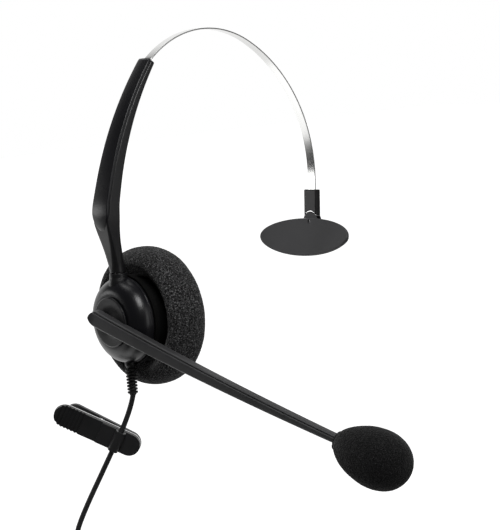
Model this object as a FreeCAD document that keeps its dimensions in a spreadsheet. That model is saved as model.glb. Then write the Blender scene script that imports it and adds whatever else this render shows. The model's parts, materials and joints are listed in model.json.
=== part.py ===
import FreeCAD, Part
import math
import os
import re

import Sketcher
from FreeCAD import Placement, Rotation, Vector

# Monaural office headset on a steel headband.
# Row frame in millimetres: +Z is up, +X points from the ear towards the head, and -Y is the front,
# where the boom reaches to the mouth. The origin is the centre of the face of the ear cushion that
# rests on the ear. Depths of the ear cup are measured outwards from that face, along -X.

SIZES = {
    # ear cushion
    "cushion_radius": 30.0, "cushion_depth": 19.0, "cushion_round": 7.0, "cushion_mouth": 22.6,
    "cushion_lip": 18.6, "cushion_seat": 12.8, "cushion_grip": 15.2, "cushion_groove": 21.4,
    # speaker plate, the front half of the capsule
    "plate_front": 13.2, "plate_wall": 1.6, "flange_radius": 21.0, "neck_radius": 18.0,
    "bore_radius": 16.6, "ring_front": 19.6, "ring_back": 22.2, "ring_radius": 19.3,
    "sound_hole": 1.3, "sound_circle": 6.5, "felt_radius": 15.5, "felt_thick": 0.3,
    # domed rear half of the capsule
    "dome_start": 22.3, "dome_radius": 18.56, "dome_land": 0.9, "dome_curve": 7.4,
    "dome_top": 30.6, "dome_flat": 11.4, "dome_wall": 1.6, "vent_radius": 0.45,
    "boss_radius": 1.8, "boss_circle": 15.1, "boss_end": 27.0, "screw_radius": 0.8,
    "screw_head": 1.5, "screw_head_thick": 0.8, "screw_end": 26.0,
    # speaker and circuit board
    "speaker_back": 18.6, "speaker_radius": 13.2, "speaker_neck": 7.0, "magnet_radius": 7.5,
    "magnet_back": 22.0, "coil_radius": 4.0, "cone_thick": 0.3, "board_radius": 10.0,
    "board_front": 23.2, "board_thick": 1.0,
    # collar, where the arm swivels on the capsule
    "collar_depth": 25.0, "collar_radius": 3.9, "collar_foot": 12.5, "collar_top": 20.4,
    "pin_radius": 1.5, "pin_gap": 0.05, "pin_top": 32.0, "pin_foot": 11.0, "clip_radius": 2.7,
    "clip_thick": 0.7,
    # boom hub
    "hub_radius": 10.7, "hub_back": 30.75, "hub_front": 31.9, "hub_shaft": 4.0, "hub_bore": 2.4,
    "hub_tail": 27.2, "hub_gap": 0.05, "hub_boss_radius": 6.5, "retainer_radius": 5.8,
    "retainer_thick": 0.7,
    "retainer_back": 28.8, "groove_radius": 3.4, "washer_in": 5.2, "washer_out": 9.0,
    "washer_thick": 0.6,
    # boom
    "boom_length": 142.0, "boom_root": 7.5, "boom_tip": 3.7, "boom_depth": 5.0,
    "boom_tip_depth": 3.8, "boom_bend": 1035.0, "boom_cap": 0.7,
    "boom_groove": 0.2, "boom_behind": 8.0, "boom_drop": 21.6, "boom_lean": 11.4,
    "boom_axis": 34.8, "boom_shift": 0.5, "wire_width": 1.0,
    # microphone and windscreen
    "mic_radius": 3.0, "mic_length": 4.5, "mic_shell": 3.6, "mic_shell_length": 14.0,
    "mic_lean": 4.1, "screen_length": 35.0, "screen_radius": 12.15, "screen_waist": 6.0,
    "screen_widest": 20.5, "screen_bore": 3.9, "screen_bore_depth": 24.5, "screen_start": 132.5,
    # arm: outer side's distance from the collar side of the origin, height, thickness and width
    "arm_foot": 20.7, "arm_foot_out": 28.4, "arm_foot_width": 6.8, "arm_ankle": 26.0,
    "arm_ankle_out": 28.7, "arm_ankle_thick": 5.9, "arm_ankle_width": 7.2, "arm_heel": 34.0,
    "arm_heel_out": 30.3, "arm_heel_thick": 6.0, "arm_heel_width": 8.4, "elbow": 45.0,
    "elbow_out": 32.7, "elbow_thick": 7.3, "elbow_width": 10.4, "arm_top": 109.6,
    "arm_top_out": 1.2, "arm_top_thick": 3.4, "arm_top_width": 7.8, "arm_bend": 152.2,
    "arm_round": 1.0, "cover_thick": 1.2, "cover_gap": 0.2, "cover_end": 44.6,
    "arm_screw_radius": 0.8, "arm_screw_head": 1.4,
    # headband
    "band_width": 5.0, "band_thick": 0.6, "slot_width": 5.4, "slot_depth": 1.0,
    "band_inside": 26.0, "slot_length": 30.0, "band_kink": 12.0, "band_crown": 47.0,
    "band_side": 70.0, "band_leave": 38.0, "band_turn": 31.6, "band_end": 26.6,
    "band_tuck": 5.0,
    "rivet_radius": 0.8, "rivet_height": 29.0, "rivet_window": 0.95,
    # sleeve and temple pad
    "sleeve_width": 8.0, "sleeve_depth": 3.0, "sleeve_foot": 31.2, "sleeve_top": 43.5,
    "sleeve_arch": 4.9, "liner_thick": 0.28, "fork_radius": 4.5, "fork_slot": 0.9, "tine_thick": 0.65,
    "tine_foot": 30.5,
    "pad_long": 29.6, "pad_short": 8.9, "pad_curve": 300.0, "pad_skin": 1.5, "pad_plate": 1.1,
    "pad_tilt": 20.0, "pad_height": 22.3, "pad_offset": 4.8,
    # strain relief and cord
    "cord_radius": 1.15, "relief_depth": 22.8, "relief_neck": 2.4,
    "relief_top": 15.2, "relief_bottom": 32.5, "relief_rib": 2.35, "relief_root": 1.75,
    "relief_ribs": 8.0, "coil_outer": 17.8, "coil_inner": 8.3, "coil_thick": 11.6,
    "tie_width": 4.0, "tie_thick": 0.35, "cord_length": 1500.0,
    # plug
    "boot_length": 9.0, "boot_radius": 1.9, "plug_radius": 3.2, "plug_length": 18.0,
    "contact_radius": 1.75, "contact_length": 11.0, "contact_tip": 3.0, "contact_neck": 1.15,
    "ring_thick": 0.7, "ring_pitch": 2.6, "ring_first": 4.0,
    # clothing clip
    "clip_length": 40.0, "clip_width": 9.8, "jaw_thick": 1.7, "jaw_front": 5.6, "liner": 0.5,
    "ridge_count": 7.0, "ridge_pitch": 1.65, "ridge_depth": 0.75, "ridge_start": 2.0,
    "holder_start": 21.0, "holder_end": 33.0, "holder_rise": 0.9, "tunnel_at": 29.6,
    "tunnel_radius": 1.4, "tunnel_wall": 0.9, "clip_pivot": 20.0, "clip_pin_radius": 0.5,
    "lug_thick": 0.8, "lug_radius": 1.4, "lug_drop": 2.9, "back_lean": 8.0, "back_start": 3.5,
    "clip_axis": 4.05,
}

doc = FreeCAD.newDocument("Headset")
sheet = doc.addObject("Spreadsheet::Sheet", "Sizes")
for row, (alias, number) in enumerate(SIZES.items(), start=1):
    sheet.set(f"A{row}", alias)
    sheet.set(f"B{row}", str(number))
    sheet.setAlias(f"B{row}", alias)
doc.recompute()

pieces = []


# ---------------------------------------------------------------- helpers

def bound(expression):
    """The expression with every size's name pointing into the sheet."""
    return re.sub(r"[a-z][a-z_]+", lambda word: "Sizes." + word.group(), str(expression))


def value(expression):
    result = sheet.evalExpression(bound(expression))
    return float(getattr(result, "Value", result))


def at(x=0.0, y=0.0, z=0.0):
    return Vector(value(x), value(y), value(z))


def piece(thing, label):
    """Name a finished sub-part, which is then written to its own file."""
    thing.Label = label
    pieces.append(thing)
    return thing


def arc_between(start, end, radius):
    """Arc of a circle from start to end; its centre is left of the way for a positive radius."""
    chord = end - start
    left = Vector(-chord.y, chord.x, 0).normalize()
    inset = math.sqrt(radius ** 2 - (chord.Length / 2) ** 2)
    centre = (start + end) * 0.5 + left * math.copysign(inset, radius)
    first, last = (start, end) if radius > 0 else (end, start)
    angles = [math.atan2(p.y - centre.y, p.x - centre.x) for p in (first, last)]
    return Part.ArcOfCircle(Part.Circle(centre, Vector(0, 0, 1), abs(radius)), *angles)


def pin_down(sketch, edge, end, axis, expression):
    """Bind one coordinate of a vertex to the sheet."""
    number = value(expression)
    if abs(number) < 1e-9:
        line = -2 if axis == "X" else -1
        sketch.addConstraint(Sketcher.Constraint("PointOnObject", edge, end, line))
        return
    rule = Sketcher.Constraint("Distance" + axis, -1, 1, edge, end, number)
    index = sketch.addConstraint(rule)
    sketch.setExpression(f"Constraints[{index}]", bound(expression))


def draw(sketch, outline):
    """Closed outline: (x, y) starts a straight edge and (x, y, radius) an arc."""
    corners = [at(point[0], point[1]) for point in outline]
    ends = []
    for index, point in enumerate(outline):
        start, end = corners[index], corners[(index + 1) % len(corners)]
        if len(point) == 2:
            sketch.addGeometry(Part.LineSegment(start, end), False)
            ends.append((1, 2))
            continue
        radius = value(point[2])
        sketch.addGeometry(arc_between(start, end, radius), False)
        ends.append((1, 2) if radius > 0 else (2, 1))
        size = Sketcher.Constraint("Radius", index, abs(radius))
        number = sketch.addConstraint(size)
        sketch.setExpression(f"Constraints[{number}]", bound(str(point[2]).lstrip("-")))
    for index, point in enumerate(outline):
        after = (index + 1) % len(outline)
        joint = Sketcher.Constraint("Coincident", index, ends[index][1], after, ends[after][0])
        sketch.addConstraint(joint)
        pin_down(sketch, index, ends[index][0], "X", point[0])
        pin_down(sketch, index, ends[index][0], "Y", point[1])


def body_with_sketch(name, role, outline):
    body = doc.addObject("PartDesign::Body", name)
    plane = next(item for item in body.Origin.OriginFeatures if item.Role == role)
    sketch = body.newObject("Sketcher::SketchObject", name + "_outline")
    sketch.AttachmentSupport = (plane, [""])
    sketch.MapMode = "FlatFace"
    draw(sketch, outline)
    return body, sketch


def revolved(name, outline):
    """Body of revolution about its own X axis; the outline is (distance along X, radius)."""
    body, sketch = body_with_sketch(name, "XY_Plane", outline)
    turn = body.newObject("PartDesign::Revolution", name + "_turn")
    turn.Profile = sketch
    turn.ReferenceAxis = (sketch, ["H_Axis"])
    turn.Angle = 360
    return body


def padded(name, role, outline, length):
    body, sketch = body_with_sketch(name, role, outline)
    pad = body.newObject("PartDesign::Pad", name + "_pad")
    pad.Profile = sketch
    pad.setExpression("Length", bound(length))
    return body


def place(thing, base=Vector(), rotation=Rotation()):
    thing.Placement = Placement(base, rotation)
    return thing


def cylinder(name, radius, height, base, direction=Vector(0, 0, 1)):
    thing = doc.addObject("Part::Cylinder", name)
    thing.setExpression("Radius", bound(radius))
    thing.setExpression("Height", bound(height))
    return place(thing, base, Rotation(Vector(0, 0, 1), direction))


def block(name, sizes, corner):
    thing = doc.addObject("Part::Box", name)
    for side, expression in zip(("Length", "Width", "Height"), sizes):
        thing.setExpression(side, bound(expression))
    return place(thing, corner)


def fused(name, things):
    thing = doc.addObject("Part::MultiFuse", name)
    thing.Shapes = things
    return thing


def cut(name, base, tools):
    thing = doc.addObject("Part::Cut", name)
    thing.Base = base
    thing.Tool = tools[0] if len(tools) == 1 else fused(name + "_tools", tools)
    return thing


def common(name, first, second):
    thing = doc.addObject("Part::MultiCommon", name)
    thing.Shapes = [first, second]
    return thing


def group(name, things):
    """Equal pieces kept apart as separate solids of one node."""
    thing = doc.addObject("Part::Compound", name)
    thing.Links = things
    return thing


def shaped(name, shape, base=Vector(), rotation=Rotation()):
    thing = doc.addObject("Part::Feature", name)
    thing.Shape = shape
    return place(thing, base, rotation)


OUTWARD = Rotation(Vector(0, 0, 1), 180)     # turns an ear-cup depth into -X


def ear_piece(name, outline):
    return place(revolved(name, outline), Vector(), OUTWARD)


# ---------------------------------------------------------------- ear cup

def screw_spots():
    """Directions, in the YZ plane, of the three screws that close the capsule."""
    return [Vector(0, math.cos(turn), math.sin(turn)) for turn in (0, 2 * math.pi / 3, -2 * math.pi / 3)]


def capsule_posts(name, radius, start, end):
    """Three posts, or the holes in them, between two depths."""
    posts = []
    for number, way in enumerate(screw_spots()):
        base = way * value("boss_circle") - at(start)
        posts.append(cylinder(f"{name}{number}", radius, f"{end} - ({start})", base, Vector(-1, 0, 0)))
    return posts


def relief_hole(name, radius):
    """Round opening at the foot of the capsule, on the seam of its two halves."""
    base = at("-relief_depth", 0, "-dome_radius - 3")
    return cylinder(name, radius, "dome_radius + 3 - relief_top + 0.4", base)


def make_cushion():
    piece(ear_piece("ear_cushion", [
        (0, 0), (0, "cushion_radius - cushion_round", "-cushion_round"),
        ("cushion_round", "cushion_radius"),
        ("cushion_depth - cushion_round", "cushion_radius", "-cushion_round"),
        ("cushion_depth", "cushion_radius - cushion_round"), ("cushion_depth", "cushion_mouth"),
        ("cushion_grip", "cushion_lip"), ("cushion_grip", "cushion_groove"),
        ("cushion_seat", "cushion_groove"), ("cushion_seat", 0)]), "ear_cushion")


def make_speaker_plate():
    inner = "plate_front + plate_wall"
    shell = ear_piece("plate_shell", [
        ("plate_front", 0), ("plate_front", "flange_radius"), (inner, "flange_radius"),
        (inner, "neck_radius"), ("ring_front", "neck_radius"), ("ring_front", "ring_radius"),
        ("ring_back", "ring_radius"), ("ring_back", "bore_radius"), (inner, "bore_radius"), (inner, 0)])
    posts = capsule_posts("plate_post", "boss_radius", "plate_front + 1", "ring_back")
    solid = fused("plate_solid", [shell] + posts)
    holes = capsule_posts("plate_screw_hole", "screw_radius + 0.05", "plate_front - 1", "ring_back + 1")
    holes += capsule_posts("plate_head_hole", "screw_head + 0.1", "plate_front - 1",
                           "plate_front + screw_head_thick")
    holes.append(relief_hole("plate_relief_hole", "relief_neck"))
    holes.append(cylinder("plate_collar_gap", "collar_radius + 0.1", "collar_top",
                          at("-collar_depth", 0, "collar_foot - 1")))
    holes.append(cylinder("sound_hole_0", "sound_hole", "plate_wall + 1",
                          at("-plate_front + 0.5"), Vector(-1, 0, 0)))
    for number in range(6):
        turn = math.radians(60 * number)
        way = Vector(0, math.cos(turn), math.sin(turn)) * value("sound_circle")
        holes.append(cylinder(f"sound_hole_{number + 1}", "sound_hole", "plate_wall + 1",
                              way + at("-plate_front + 0.5"), Vector(-1, 0, 0)))
    piece(cut("speaker_plate", solid, holes), "speaker_plate")
    felt = cylinder("speaker_felt", "felt_radius - screw_head - 1", "felt_thick",
                    at("-plate_front + felt_thick"), Vector(-1, 0, 0))
    piece(felt, "speaker_felt")


def make_dome():
    centre = "dome_start + dome_land"
    inside = "dome_curve - dome_wall"
    shell = ear_piece("dome_shell", [
        ("dome_start", "dome_radius - dome_wall"), ("dome_start", "dome_radius"),
        (centre, "dome_radius", "-dome_curve"), ("dome_top", "dome_flat"),
        ("dome_top", "hub_shaft + hub_gap"), ("dome_top - dome_wall", "hub_shaft + hub_gap"),
        ("dome_top - dome_wall", "dome_flat - 0.3", inside), (centre, "dome_radius - dome_wall")])
    collar = cylinder("dome_collar", "collar_radius", "collar_top - collar_foot",
                      at("-collar_depth", 0, "collar_foot"))
    posts = capsule_posts("dome_post", "boss_radius", "dome_start", "boss_end")
    solid = fused("dome_solid", [shell, collar] + posts)
    tools = capsule_posts("dome_screw_hole", "screw_radius", "dome_start - 1", "screw_end")
    tools.append(cylinder("dome_pin_hole", "pin_radius + pin_gap", "collar_top",
                          at("-collar_depth", 0, "collar_foot - 2")))
    tools.append(relief_hole("dome_relief_hole", "relief_neck"))
    recess = cut("washer_recess", cylinder("washer_recess_disc", "washer_out + 0.1", "2",
                                           at("-dome_top + washer_thick"), Vector(-1, 0, 0)),
                 [cylinder("washer_recess_core", "washer_in - 0.1", "2",
                           at("-dome_top + washer_thick"), Vector(-1, 0, 0))])
    tools.append(recess)
    for number, (depth, height) in enumerate(((24.2, -0.4), (24.4, -1.9))):
        tools.append(cylinder(f"dome_vent_{number}", "vent_radius", 4,
                              Vector(-depth, -20, height), Vector(0, 1, 0)))
    piece(cut("capsule_dome", solid, tools), "capsule_dome")


def make_capsule_screws():
    screws = []
    for number, way in enumerate(screw_spots()):
        base = way * value("boss_circle")
        head = cylinder(f"screw_head_{number}", "screw_head", "screw_head_thick",
                        base - at("plate_front"), Vector(-1, 0, 0))
        shank = cylinder(f"screw_shank_{number}", "screw_radius",
                         "screw_end - plate_front - screw_head_thick + 0.1",
                         base - at("plate_front + screw_head_thick - 0.1"), Vector(-1, 0, 0))
        screws.append(fused(f"capsule_screw_{number}", [head, shank]))
    piece(group("capsule_screws", screws), "capsule_screws")


def make_speaker():
    inner = "plate_front + plate_wall"
    piece(ear_piece("speaker_frame", [
        (inner, "speaker_radius - 1.5"), (inner, "speaker_radius"),
        (f"{inner} + 1.5", "speaker_radius"), ("speaker_back", "speaker_neck + 1.5"),
        ("speaker_back", "speaker_neck"), ("speaker_back - 1", "speaker_neck"),
        (f"{inner} + 0.9", "speaker_radius - 1.5")]), "speaker_frame")
    piece(ear_piece("speaker_cone", [
        (f"{inner} + 0.2", "coil_radius"), (f"{inner} + 0.2", "speaker_radius - 1.7"),
        (f"{inner} + 0.2 + cone_thick", "speaker_radius - 1.7"),
        (f"{inner} + 1.6 + cone_thick", "coil_radius"), (f"{inner} + 0.4 + cone_thick", 0),
        (f"{inner} + 0.4", 0)]), "speaker_cone")
    piece(ear_piece("voice_coil", [
        (f"{inner} + 2", "coil_radius - 0.4"), (f"{inner} + 2", "coil_radius"),
        ("speaker_back", "coil_radius"), ("speaker_back", "coil_radius - 0.4")]), "voice_coil")
    piece(cylinder("speaker_magnet", "magnet_radius", "magnet_back - speaker_back",
                   at("-speaker_back"), Vector(-1, 0, 0)), "speaker_magnet")
    piece(cylinder("circuit_board", "board_radius", "board_thick",
                   at("-board_front"), Vector(-1, 0, 0)), "circuit_board")


def make_collar_pin():
    axis = at("-collar_depth")
    pin = cylinder("arm_pin", "pin_radius", "pin_top - pin_foot", axis + at(0, 0, "pin_foot"))
    piece(pin, "arm_pin")
    ring = cylinder("pin_clip_disc", "clip_radius", "clip_thick",
                    axis + at(0, 0, "collar_foot - clip_thick - 0.1"))
    hole = cylinder("pin_clip_hole", "pin_radius", "clip_thick + 1",
                    axis + at(0, 0, "collar_foot - clip_thick - 0.6"))
    piece(cut("pin_clip", ring, [hole]), "pin_clip")


# ---------------------------------------------------------------- boom

def boom_placement():
    """The boom lies along its own X, inwards is +Y, and up is +Z."""
    drop = Rotation(Vector(1, 0, 0), value("boom_drop"))
    lean = Rotation(Vector(0, 0, 1), value("boom_lean"))
    along_front = Rotation(Vector(0, 0, 1), -90)
    turn = drop.multiply(lean).multiply(along_front)
    root = at("-boom_behind", "boom_shift - boom_depth / 2", "-boom_root / 2")
    return Placement(at("-boom_axis"), turn).multiply(Placement(root, Rotation()))


def ride_boom(thing, base=Vector(), rotation=Rotation()):
    thing.Placement = boom_placement().multiply(Placement(base, rotation))
    return thing


def boom_strip(name, inset, low, height, taper="0"):
    """A strip of the boom's curved plan, inset from both its sides, from a height upwards."""
    strip = padded(name, "XY_Plane", [
        (0, inset, "boom_bend"), ("boom_length", f"{inset} + {taper}"),
        ("boom_length", f"boom_depth - {inset} - {taper}", "-boom_bend"),
        (0, f"boom_depth - {inset}")], height)
    return ride_boom(strip, at(0, 0, low))


def boom_side(name, low_root, low_tip, high_root, high_tip, length):
    """A slab across the boom whose height tapers from the root to the tip."""
    slab = padded(name, "XZ_Plane", [
        (0, low_root), (length, low_tip), (length, high_tip), (0, high_root)], "boom_depth * 4")
    return ride_boom(slab, at(0, "boom_depth * 2.5", 0))


def make_boom():
    side = padded("boom_profile", "XZ_Plane", [
        ("boom_root / 2", 0), ("boom_length", "(boom_root - boom_tip) / 2"),
        ("boom_length", "(boom_root + boom_tip) / 2"),
        ("boom_root / 2", "boom_root", "boom_root / 2 + 0.01")], "boom_depth * 4")
    ride_boom(side, at(0, "boom_depth * 2.5", 0))
    plan = boom_strip("boom_plan", 0, 0, "boom_root", "(boom_depth - boom_tip_depth) / 2")
    blank = common("boom_blank", plan, side)
    slope = "(boom_root - boom_tip) / 2"
    lid = boom_side("boom_lid", "boom_root - boom_cap", f"boom_root - boom_cap - {slope}",
                    "boom_root + 2", "boom_root + 2", "boom_length")
    gap = "(boom_cap + boom_groove)"
    above = boom_side("boom_above", f"boom_root - {gap}", f"boom_root - {gap} - {slope}",
                      "boom_root + 2", "boom_root + 2", "boom_length")
    channel = boom_strip("wire_channel", "1.6", "boom_root / 2 - 0.7", "boom_root")
    hub_clear = cylinder("boom_hub_clear", "hub_radius + 0.5", 6, at("-hub_front"), Vector(1, 0, 0))
    base = cut("boom_base", blank, [above, channel, hub_clear])
    piece(base, "boom_base")
    narrow = common("boom_narrow", blank, boom_strip("cap_plan", 0.04, 0, "boom_root",
                                                     "(boom_depth - boom_tip_depth) / 2"))
    piece(cut("boom_cap", common("boom_closed", narrow, lid), [hub_clear]), "boom_cap")
    piece(boom_strip("boom_wire", "2", "boom_root / 2 - 0.5", "wire_width"), "boom_wire")


def make_hub():
    disc = ear_piece("hub_turned", [
        ("hub_tail", "hub_bore"), ("hub_tail", "hub_shaft"),
        ("retainer_back - retainer_thick", "hub_shaft"),
        ("retainer_back - retainer_thick", "groove_radius"), ("retainer_back", "groove_radius"),
        ("retainer_back", "hub_shaft"), ("hub_back", "hub_shaft"), ("hub_back", "hub_radius"),
        ("hub_front - 0.4", "hub_radius"), ("hub_front", "hub_radius - 0.4"),
        ("hub_front", "hub_bore")])
    boss = cylinder("hub_boss", "hub_boss_radius", 3.2, at("-hub_front + 0.2"), Vector(-1, 0, 0))
    shadow = boom_strip("boss_clear", -0.02, -1, "boom_root + 2")
    bore = cylinder("boss_bore", "hub_bore", 6, at("-hub_front + 1"), Vector(-1, 0, 0))
    piece(fused("boom_hub", [disc, cut("hub_boss_cut", boss, [shadow, bore])]), "boom_hub")
    ring = ear_piece("hub_ring", [
        ("retainer_back - retainer_thick + 0.03", "groove_radius + 0.03"),
        ("retainer_back - retainer_thick + 0.03", "retainer_radius"),
        ("retainer_back - 0.03", "retainer_radius"),
        ("retainer_back - 0.03", "groove_radius + 0.03")])
    mouth = block("hub_ring_mouth", (3, 4, 10), at("-retainer_back - 1", "-2", 0.5))
    piece(cut("hub_retainer", ring, [mouth]), "hub_retainer")
    piece(ear_piece("friction_washer", [
        ("dome_top - washer_thick", "washer_in"), ("dome_top - washer_thick", "washer_out"),
        ("dome_top + 0.08", "washer_out"), ("dome_top + 0.08", "washer_in")]), "friction_washer")


def mic_piece(name, outline, start):
    """Turned piece on the tip of the boom, along the way the boom ends in."""
    base = at("boom_length", "boom_depth / 2", "boom_root / 2")
    turn = Rotation(Vector(0, 0, 1), value("mic_lean"))
    return ride_boom(revolved(name, outline), base + turn.multVec(at(start)), turn)


def make_microphone():
    deep = "mic_shell_length"
    piece(mic_piece("mic_housing", [
        (0.05, 0), (0.05, "mic_shell - 0.8"), (1.2, "mic_shell"), (deep, "mic_shell"),
        (deep, "mic_radius"), (f"{deep} - mic_length - 2", "mic_radius"),
        (f"{deep} - mic_length - 2", 0)], 0), "mic_housing")
    piece(mic_piece("mic_capsule", [
        (0, 0), (0, "mic_radius - 0.02"), ("mic_length", "mic_radius - 0.02"), ("mic_length", 0)],
        f"{deep} - mic_length - 1"), "mic_capsule")
    start = "screen_start - boom_length"
    piece(mic_piece("windscreen", [
        (0, "screen_bore"),
        (0, "screen_waist", "-44"),
        ("screen_widest", "screen_radius", "-16"),
        ("screen_length", 0), ("screen_bore_depth", 0), ("screen_bore_depth", "screen_bore")],
        start), "windscreen")


# ---------------------------------------------------------------- arm

FROM_FRONT = Rotation(Vector(1, 0, 0), 90)      # a disc's own Z becomes -Y


def arm_centre():
    """Centre of the arm's outer curve, in the XZ plane."""
    start = at("-elbow_out", "elbow")
    end = at("-arm_top_out", "arm_top")
    chord = end - start
    right = Vector(chord.y, -chord.x, 0).normalize()
    inset = math.sqrt(value("arm_bend") ** 2 - (chord.Length / 2) ** 2)
    centre = (start + end) * 0.5 + right * inset
    return Vector(centre.x, 0, centre.y)


def arm_disc(name, radius, width, turn=0.0, sweep=None):
    """Disc, or a sector of it, about the centre of the arm's curve."""
    disc = doc.addObject("Part::Cylinder", name)
    disc.setExpression("Radius", bound(radius))
    disc.setExpression("Height", bound(width))
    if sweep is not None:
        disc.Angle = sweep
    rotation = FROM_FRONT.multiply(Rotation(Vector(0, 0, 1), turn))
    return place(disc, arm_centre() + Vector(0, value(width) / 2, 0), rotation)


def exit_angle():
    """Direction, seen from the curve's centre, of the arm's top end."""
    top = at("-arm_top_out", 0, "arm_top") - arm_centre()
    return math.degrees(math.atan2(top.z, top.x))


def rounded_section(outer, way, thick, width, corner):
    """Rounded rectangle across the arm: outer is the middle of its outer side."""
    middle = outer - way * (thick / 2)
    flat, side = way * (thick / 2 - corner), Vector(0, width / 2 - corner, 0)
    edges, last = [], None
    for turn in range(4):
        first_way = (way, Vector(0, 1, 0), way * -1, Vector(0, -1, 0))[turn]
        next_way = (Vector(0, 1, 0), way * -1, Vector(0, -1, 0), way)[turn]
        signs = ((1, 1), (-1, 1), (-1, -1), (1, -1))[turn]
        centre = middle + flat * signs[0] + side * signs[1]
        arc = Part.Arc(centre + first_way * corner,
                       centre + (first_way + next_way) * (corner / math.sqrt(2)),
                       centre + next_way * corner)
        if last is not None:
            edges.append(Part.LineSegment(last, centre + first_way * corner).toShape())
        edges.append(arc.toShape())
        last = centre + next_way * corner
    edges.append(Part.LineSegment(last, edges[0].Vertexes[0].Point).toShape())
    return Part.Wire(edges)


def arm_blank():
    """Smooth arm from its round foot, past the elbow and along the curve to its tip."""
    outwards = Vector(-1, 0, 0)
    corner = value("arm_round")
    sections = [
        rounded_section(at("-arm_foot_out", 0, "arm_foot"), outwards, value("arm_foot_width"),
                        value("arm_foot_width"), value("arm_foot_width / 2 - 0.2")),
        rounded_section(at("-arm_ankle_out", 0, "arm_ankle"), outwards, value("arm_ankle_thick"),
                        value("arm_ankle_width"), value("arm_ankle_width / 3")),
        rounded_section(at("-arm_heel_out", 0, "arm_heel"), outwards, value("arm_heel_thick"),
                        value("arm_heel_width"), corner * 1.4)]
    centre, radius = arm_centre(), value("arm_bend")
    elbow = at("-elbow_out", 0, "elbow") - centre
    low, high = math.degrees(math.atan2(elbow.z, elbow.x)), exit_angle()
    steps = 6
    for step in range(steps + 1):
        share = step / steps
        turn = math.radians(low + (high - low) * share)
        way = Vector(math.cos(turn), 0, math.sin(turn))
        thick = value("elbow_thick") + value("arm_top_thick - elbow_thick") * share
        width = value("elbow_width") + value("arm_top_width - elbow_width") * share
        sections.append(rounded_section(centre + way * radius, way, thick, width, corner))
    return shaped("arm_blank", Part.makeLoft(sections, True, False))


def make_arm():
    blank = arm_blank()
    top_box = block("cover_reach", (60, 30, 90), at(-45, -15, "cover_end"))
    gap_box = block("gap_reach", (60, 30, 90), at(-45, -15, "cover_end - cover_gap"))
    shell = cut("cover_shell", arm_disc("cover_outer", "arm_bend + 4", 20),
                [arm_disc("cover_inner", "arm_bend - cover_thick", 22)])
    gap = cut("gap_shell", arm_disc("gap_outer", "arm_bend + 4", 20),
              [arm_disc("gap_inner", "arm_bend - cover_thick - cover_gap", 22)])
    cover = common("arm_cover", common("cover_curve", blank, shell), top_box)
    piece(cover, "arm_cover")
    seat = "arm_bend - cover_thick - cover_gap"
    sweep = math.degrees(value("slot_length") / value(seat))
    slot = cut("band_slot", arm_disc("slot_outer", f"{seat} + 0.1", "slot_width",
                                     exit_angle() - 2, sweep + 2),
               [arm_disc("slot_inner", f"{seat} - slot_depth", "slot_width + 2")])
    pin_hole = cylinder("arm_pin_hole", "pin_radius", "pin_top - arm_foot + 1",
                        at("-collar_depth", 0, "arm_foot - 1"))
    tools = [common("gap_region", gap, gap_box), slot, pin_hole]
    tools += arm_screw_parts("arm_bore", "arm_screw_radius", "arm_screw_head + 0.05")
    piece(cut("arm_frame", blank, tools), "arm_frame")
    piece(group("arm_screws", arm_screw_parts("arm_screw", "arm_screw_radius", "arm_screw_head")),
          "arm_screws")


def arm_screw_parts(name, shank, head):
    """Two countersunk screws, driven from the inner side into the cover."""
    parts = []
    for number, turn in enumerate((164.0, 154.0)):
        way = Vector(math.cos(math.radians(turn)), 0, math.sin(math.radians(turn)))
        outer = arm_centre() + way * value("arm_bend - cover_thick - cover_gap")
        depth = (5.6, 2.6)[number]
        stem = cylinder(f"{name}_stem_{number}", shank, depth, outer - way * depth, way)
        top = cylinder(f"{name}_top_{number}", head, 0.8, outer - way * (depth + 0.6), way)
        parts.append(fused(f"{name}_{number}", [stem, top]))
    return parts


# ---------------------------------------------------------------- headband and pad

def band_path(offset):
    """Edges of the strip's curve in the XZ plane, moved outwards by offset."""
    centre = arm_centre()
    radius = value("arm_bend - cover_thick - 0.6")
    top = exit_angle()
    inside = math.degrees(value("band_inside") / radius)
    bends = [(radius, top + inside, top), (value("band_kink"), top, value("90 + band_leave")),
             (value("band_crown"), value("90 + band_leave"), value("90 - band_turn")),
             (value("band_side"), value("90 - band_turn"), -value("band_tuck"))]
    edges, end = [], None
    for radius, first, last in bends:
        def way(angle):
            return Vector(math.cos(math.radians(angle)), 0, math.sin(math.radians(angle)))
        if end is not None:
            centre = end - way(first) * radius
        arc = [centre + way(angle) * (radius + offset) for angle in (first, (first + last) / 2, last)]
        edges.append(Part.Arc(*arc).toShape())
        end = centre + way(last) * radius
    start = end + way(-value("band_tuck")) * offset
    onward = way(-value("band_tuck") - 90) * (end.z - value("band_end"))
    edges.append(Part.LineSegment(start, start + onward).toShape())
    return edges, end


def tuck_in(thing, end):
    """Turn what is on the band's end, drawn upright below it, to the way the band ends in."""
    thing.Placement = Placement(Vector(), Rotation(Vector(0, 1, 0), value("band_tuck")), end)
    return thing


def make_band():
    half = value("band_thick") / 2
    outer, _ = band_path(half)
    inner, end = band_path(-half)
    ends = [Part.LineSegment(outer[0].Vertexes[0].Point, inner[0].Vertexes[0].Point).toShape(),
            Part.LineSegment(outer[-1].Vertexes[-1].Point, inner[-1].Vertexes[-1].Point).toShape()]
    wire = Part.Wire(Part.__sortEdges__(outer + inner + ends))
    width = value("band_width")
    strip = Part.Face(wire).extrude(Vector(0, width, 0))
    strip.translate(Vector(0, -width / 2, 0))
    hole = Part.makeCylinder(value("rivet_radius"), 4, at(end.x - 2, 0, "rivet_height"), Vector(1, 0, 0))
    piece(shaped("headband", strip.cut(tuck_in(hole, end))), "headband")
    print("band end", end)
    return end


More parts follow.
